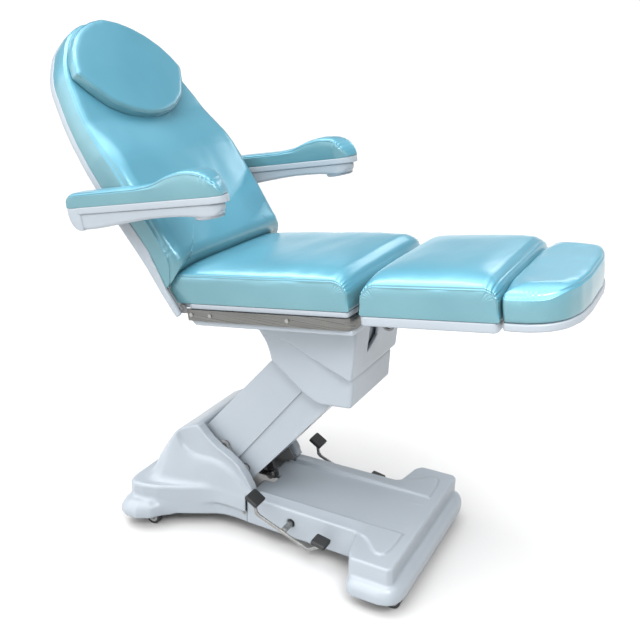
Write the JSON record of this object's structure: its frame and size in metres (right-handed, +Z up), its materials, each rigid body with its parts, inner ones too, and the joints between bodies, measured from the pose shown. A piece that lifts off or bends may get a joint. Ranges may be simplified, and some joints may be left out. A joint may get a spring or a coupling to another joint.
{
  "type": "electric facial bed",
  "caption": "Cushioned treatment bed with reclining back, leg and foot sections, folding armrests and head pillow on a motorised parallel lift arm over a moulded castor base.",
  "frame": {"origin": "on the floor under the middle of the overall box", "axes": "+X towards the foot end, +Y across the bed to the left of a person lying on it, +Z up"},
  "size_m": [1.6671, 0.82, 1.5954],
  "materials": {
    "upholstery": "satin",
    "white_shell": "gloss",
    "stainless": "satin",
    "bright_steel": "polished",
    "painted_frame": "satin",
    "motor_case": "matte",
    "black_plastic": "matte",
    "black_rubber": "matte",
    "castor_steel": "satin",
    "castor_hub": "matte",
    "castor_tyre": "matte"
  },
  "bodies": {
    "base": {"base_frame": "painted_frame", "base_pivot_pins": "bright_steel", "rear_cover": "white_shell", "front_cover": "white_shell", "cover_screws": "bright_steel", "control_box": "black_plastic", "power_inlet": "black_plastic"},
    "pedal": {"pedal_shaft": "bright_steel", "pedal_bars": "stainless", "pedal_pads": "black_rubber"},
    "lock": {"lock_plunger": "bright_steel", "lock_foot": "black_rubber"},
    "lift_arm": {"lift_arm": "painted_frame", "lower_arm_cover": "white_shell"},
    "level_link": {"level_link": "painted_frame", "upper_arm_cover": "white_shell"},
    "head": {"head_bracket": "painted_frame", "head_pivot_pins": "bright_steel"},
    "lift_motor": {"lift_actuator": "motor_case"},
    "lift_rod": {"lift_actuator_rod": "bright_steel"},
    "seat": {"seat_frame": "painted_frame", "upper_housing": "white_shell", "lower_housing": "white_shell", "side_rails": "stainless", "rail_screws": "bright_steel", "seat_tray": "white_shell", "seat_cushion": "upholstery", "seat_hinge_pins": "bright_steel"},
    "tilt_motor": {"tilt_actuator": "motor_case"},
    "tilt_rod": {"tilt_actuator_rod": "bright_steel"},
    "back": {"back_frame": "painted_frame", "back_shell": "white_shell", "back_cushion": "upholstery"},
    "back_motor": {"back_actuator": "motor_case"},
    "back_rod": {"back_actuator_rod": "bright_steel"},
    "pillow": {"pillow": "upholstery"},
    "arm_left": {"armrest_shell_left": "white_shell", "armrest_pad_left": "upholstery"},
    "arm_right": {"armrest_shell_right": "white_shell", "armrest_pad_right": "upholstery"},
    "leg": {"leg_frame": "painted_frame", "leg_shell": "white_shell", "leg_cushion": "upholstery"},
    "leg_motor": {"leg_actuator": "motor_case"},
    "leg_rod": {"leg_actuator_rod": "bright_steel"},
    "foot": {"foot_shell": "white_shell", "foot_cushion": "upholstery", "foot_guide_rods": "bright_steel"},
    "castor_front_left": {"castor_fork_front_left": "castor_steel"},
    "wheel_front_left": {"castor_hub_front_left": "castor_hub", "castor_tyre_front_left": "castor_tyre"},
    "castor_front_right": {"castor_fork_front_right": "castor_steel"},
    "wheel_front_right": {"castor_hub_front_right": "castor_hub", "castor_tyre_front_right": "castor_tyre"},
    "castor_rear_left": {"castor_fork_rear_left": "castor_steel"},
    "wheel_rear_left": {"castor_hub_rear_left": "castor_hub", "castor_tyre_rear_left": "castor_tyre"},
    "castor_rear_right": {"castor_fork_rear_right": "castor_steel"},
    "wheel_rear_right": {"castor_hub_rear_right": "castor_hub", "castor_tyre_rear_right": "castor_tyre"}
  },
  "joints": [
    {"name": "lift", "type": "hinge", "parent": "base", "child": "lift_arm", "pos_m": [-0.165, 0, 0.222], "axis": [0, -1, 0], "range_deg": [-44, 5]},
    {"name": "level", "type": "hinge", "parent": "base", "child": "level_link", "pos_m": [-0.2363, 0, 0.2933], "axis": [0, -1, 0], "range_deg": [-45, 6]},
    {"name": "head_level", "type": "hinge", "parent": "lift_arm", "child": "head", "pos_m": [0.12436, 0, 0.59237], "axis": [0, -1, 0], "range_deg": [-6, 45]},
    {"name": "seat_tilt", "type": "hinge", "parent": "head", "child": "seat", "pos_m": [0.105, 0, 0.722], "axis": [0, -1, 0], "range_deg": [-7, 8]},
    {"name": "back_recline", "type": "hinge", "parent": "seat", "child": "back", "pos_m": [-0.271, 0, 0.802], "axis": [0, -1, 0], "range_deg": [0, 60]},
    {"name": "leg_lift", "type": "hinge", "parent": "seat", "child": "leg", "pos_m": [0.29, 0, 0.852], "axis": [0, -1, 0], "range_deg": [-60, 5]},
    {"name": "foot_extend", "type": "slide", "parent": "leg", "child": "foot", "axis": [0.9919, 0, 0.1271], "range_m": [0, 0.12]},
    {"name": "armrest_left_fold", "type": "hinge", "parent": "back", "child": "arm_left", "pos_m": [-0.4807, 0.368, 1.0835], "axis": [0, -1, 0], "range_deg": [-60, 80]},
    {"name": "armrest_right_fold", "type": "hinge", "parent": "back", "child": "arm_right", "pos_m": [-0.4807, -0.368, 1.0835], "axis": [0, -1, 0], "range_deg": [-60, 80]},
    {"name": "pillow_slide", "type": "slide", "parent": "back", "child": "pillow", "axis": [-0.6018, 0, 0.7986], "range_m": [-0.02, 0.06]},
    {"name": "pedal_rock", "type": "hinge", "parent": "base", "child": "pedal", "pos_m": [0.033, 0, 0.106], "axis": [0, -1, 0], "range_deg": [0, 40]},
    {"name": "lock_drop", "type": "slide", "parent": "base", "child": "lock", "axis": [0, 0, -1], "range_m": [0, 0.0171]},
    {"name": "lift_motor_swing", "type": "hinge", "parent": "base", "child": "lift_motor", "pos_m": [-0.467, 0, 0.15], "axis": [0, -1, 0], "range_deg": [-1.1, 0.57]},
    {"name": "lift_rod_stroke", "type": "slide", "parent": "lift_motor", "child": "lift_rod", "axis": [1, 0, -0.0088], "range_m": [-0.0608, 0.0078]},
    {"name": "tilt_motor_swing", "type": "hinge", "parent": "head", "child": "tilt_motor", "pos_m": [0.163, 0, 0.612], "axis": [0, -1, 0], "range_deg": [-3.48, 3.9]},
    {"name": "tilt_rod_stroke", "type": "slide", "parent": "tilt_motor", "child": "tilt_rod", "axis": [0.0709, 0, 0.9975], "range_m": [-0.00897, 0.01011]},
    {"name": "back_motor_swing", "type": "hinge", "parent": "seat", "child": "back_motor", "pos_m": [0.15, 0.044, 0.77], "axis": [0, -1, 0], "range_deg": [-1.46, 0.5]},
    {"name": "back_rod_stroke", "type": "slide", "parent": "back_motor", "child": "back_rod", "axis": [-0.9974, 0, -0.0724], "range_m": [-0.06678, 0.001]},
    {"name": "leg_motor_swing", "type": "hinge", "parent": "seat", "child": "leg_motor", "pos_m": [-0.06, -0.044, 0.752], "axis": [0, -1, 0], "range_deg": [-0.92, 5.5]},
    {"name": "leg_rod_stroke", "type": "slide", "parent": "leg_motor", "child": "leg_rod", "axis": [0.9937, 0, 0.1125], "range_m": [-0.05316, 0.00535]},
    {"name": "castor_swivel_front_left", "type": "hinge", "parent": "base", "child": "castor_front_left", "pos_m": [0.401, 0.24, 0.08], "axis": [0, 0, 1], "continuous": true},
    {"name": "wheel_roll_front_left", "type": "hinge", "parent": "castor_front_left", "child": "wheel_front_left", "pos_m": [0.417, 0.24, 0.0275], "axis": [0, 1, 0], "continuous": true},
    {"name": "castor_swivel_front_right", "type": "hinge", "parent": "base", "child": "castor_front_right", "pos_m": [0.401, -0.24, 0.08], "axis": [0, 0, 1], "continuous": true},
    {"name": "wheel_roll_front_right", "type": "hinge", "parent": "castor_front_right", "child": "wheel_front_right", "pos_m": [0.417, -0.24, 0.0275], "axis": [0, 1, 0], "continuous": true},
    {"name": "castor_swivel_rear_left", "type": "hinge", "parent": "base", "child": "castor_rear_left", "pos_m": [-0.467, 0.24, 0.08], "axis": [0, 0, 1], "continuous": true},
    {"name": "wheel_roll_rear_left", "type": "hinge", "parent": "castor_rear_left", "child": "wheel_rear_left", "pos_m": [-0.451, 0.24, 0.0275], "axis": [0, 1, 0], "continuous": true},
    {"name": "castor_swivel_rear_right", "type": "hinge", "parent": "base", "child": "castor_rear_right", "pos_m": [-0.467, -0.24, 0.08], "axis": [0, 0, 1], "continuous": true},
    {"name": "wheel_roll_rear_right", "type": "hinge", "parent": "castor_rear_right", "child": "wheel_rear_right", "pos_m": [-0.451, -0.24, 0.0275], "axis": [0, 1, 0], "continuous": true}
  ],
  "couplings": [
    {"joint": "level", "follows": "lift", "ratio": 1},
    {"joint": "head_level", "follows": "lift", "ratio": -1},
    {"joint": "lock_drop", "follows": "pedal_rock", "m_per_rad": 0.024},
    {"joint": "lift_motor_swing", "follows": "lift", "ratio": 0.013676},
    {"joint": "lift_rod_stroke", "follows": "lift", "m_per_rad": 0.077874},
    {"joint": "tilt_motor_swing", "follows": "seat_tilt", "ratio": 0.42528},
    {"joint": "tilt_rod_stroke", "follows": "seat_tilt", "m_per_rad": 0.065231},
    {"joint": "back_motor_swing", "follows": "back_recline", "ratio": -0.015973},
    {"joint": "back_rod_stroke", "follows": "back_recline", "m_per_rad": -0.062819},
    {"joint": "leg_motor_swing", "follows": "leg_lift", "ratio": -0.083256},
    {"joint": "leg_rod_stroke", "follows": "leg_lift", "m_per_rad": 0.04981}
  ]
}
